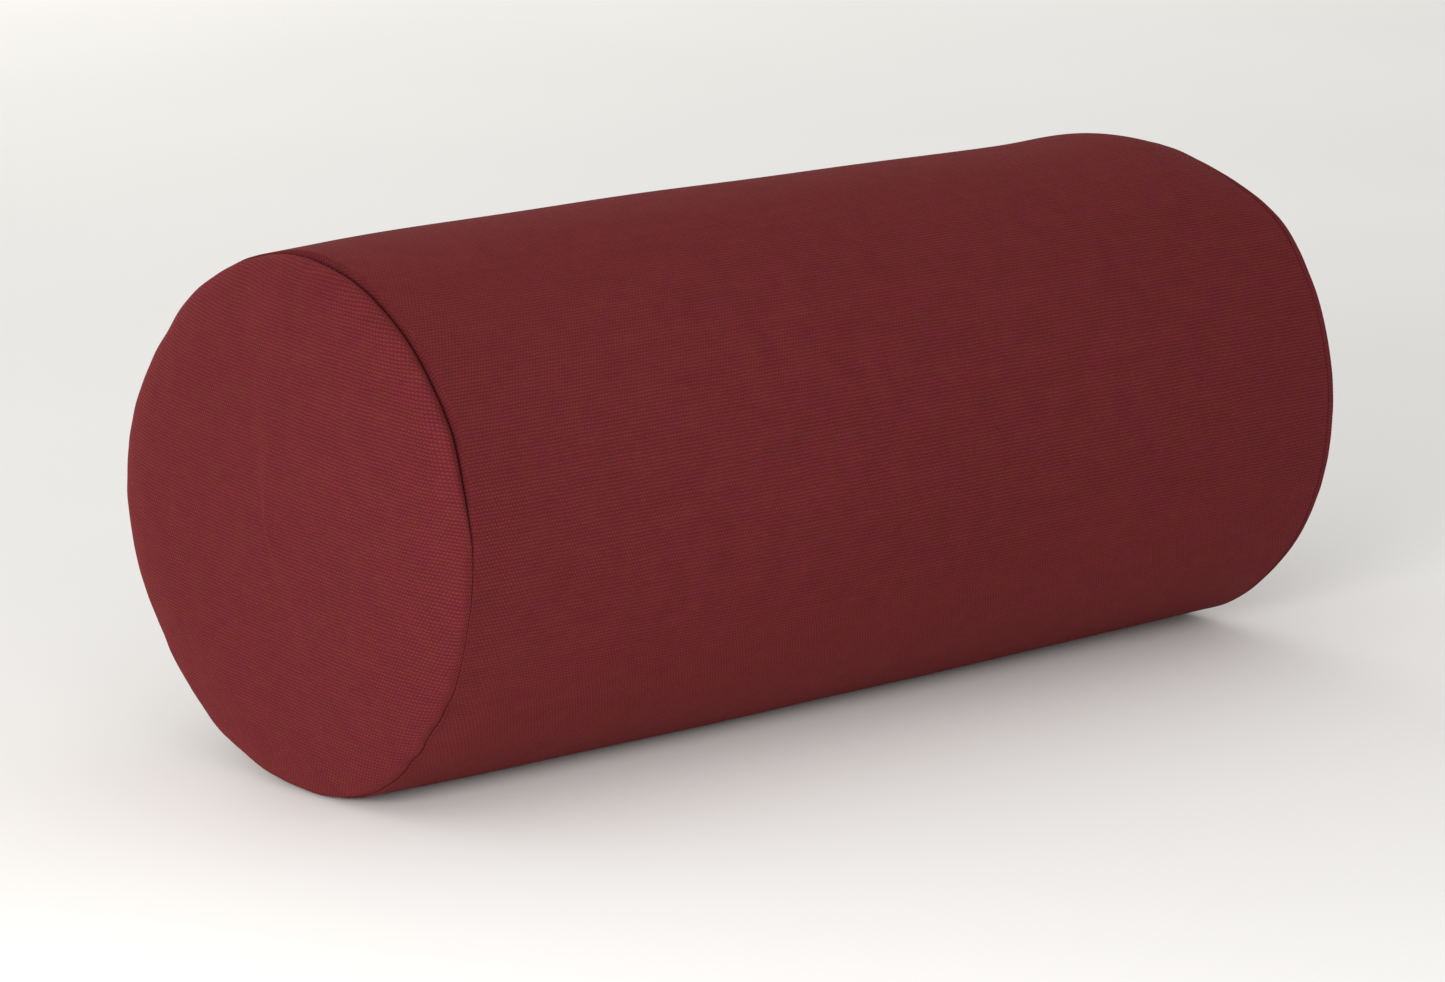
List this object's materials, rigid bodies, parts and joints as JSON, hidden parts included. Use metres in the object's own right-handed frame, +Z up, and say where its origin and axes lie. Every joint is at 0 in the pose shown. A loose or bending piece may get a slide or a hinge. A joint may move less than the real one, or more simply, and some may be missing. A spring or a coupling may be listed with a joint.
{
  "type": "bolster pillow",
  "caption": "Firm round bolster pillow: woven tube cover with domed end panels, hidden back zipper, batting and a foam core.",
  "frame": {"origin": "middle of the narrow flat the bolster rests on, on the floor plane", "axes": "+X along the bolster from the left end to the right end, +Z up, +Y towards the zipper side (the back)"},
  "size_m": [0.3494, 0.1563, 0.1495],
  "materials": {
    "cover_cloth": "matte",
    "foam": "matte",
    "batting": "matte",
    "thread": "satin",
    "zipper_tape": "matte",
    "zipper_coil": "satin",
    "zipper_metal": "satin",
    "label": "satin"
  },
  "bodies": {
    "cover": {"foam_core": "foam", "batting_wrap": "batting", "left_end_batting": "batting", "right_end_batting": "batting", "body_panel": "cover_cloth", "left_end_panel": "cover_cloth", "right_end_panel": "cover_cloth", "left_seam_thread": "thread", "right_seam_thread": "thread", "zipper_tape_upper": "zipper_tape", "zipper_tape_lower": "zipper_tape", "zipper_coil_upper": "zipper_coil", "zipper_coil_lower": "zipper_coil", "zipper_top_stop_upper": "zipper_metal", "zipper_top_stop_lower": "zipper_metal", "zipper_bottom_stop": "zipper_metal", "zipper_topstitch_upper": "thread", "zipper_topstitch_lower": "thread", "left_end_tack": "thread", "right_end_tack": "thread", "care_label": "label"},
    "slider": {"zipper_slider": "zipper_metal"},
    "pull_tab": {"zipper_pull_tab": "zipper_metal"}
  },
  "joints": [
    {"name": "slider_slide", "type": "slide", "parent": "cover", "child": "slider", "axis": [-1, 0, 0], "range_m": [0, 0.246]},
    {"name": "pull_tab_hinge", "type": "hinge", "parent": "slider", "child": "pull_tab", "pos_m": [0.122, 0.07845, 0.0735], "axis": [0, 0, -1], "range_deg": [0, 180]}
  ]
}
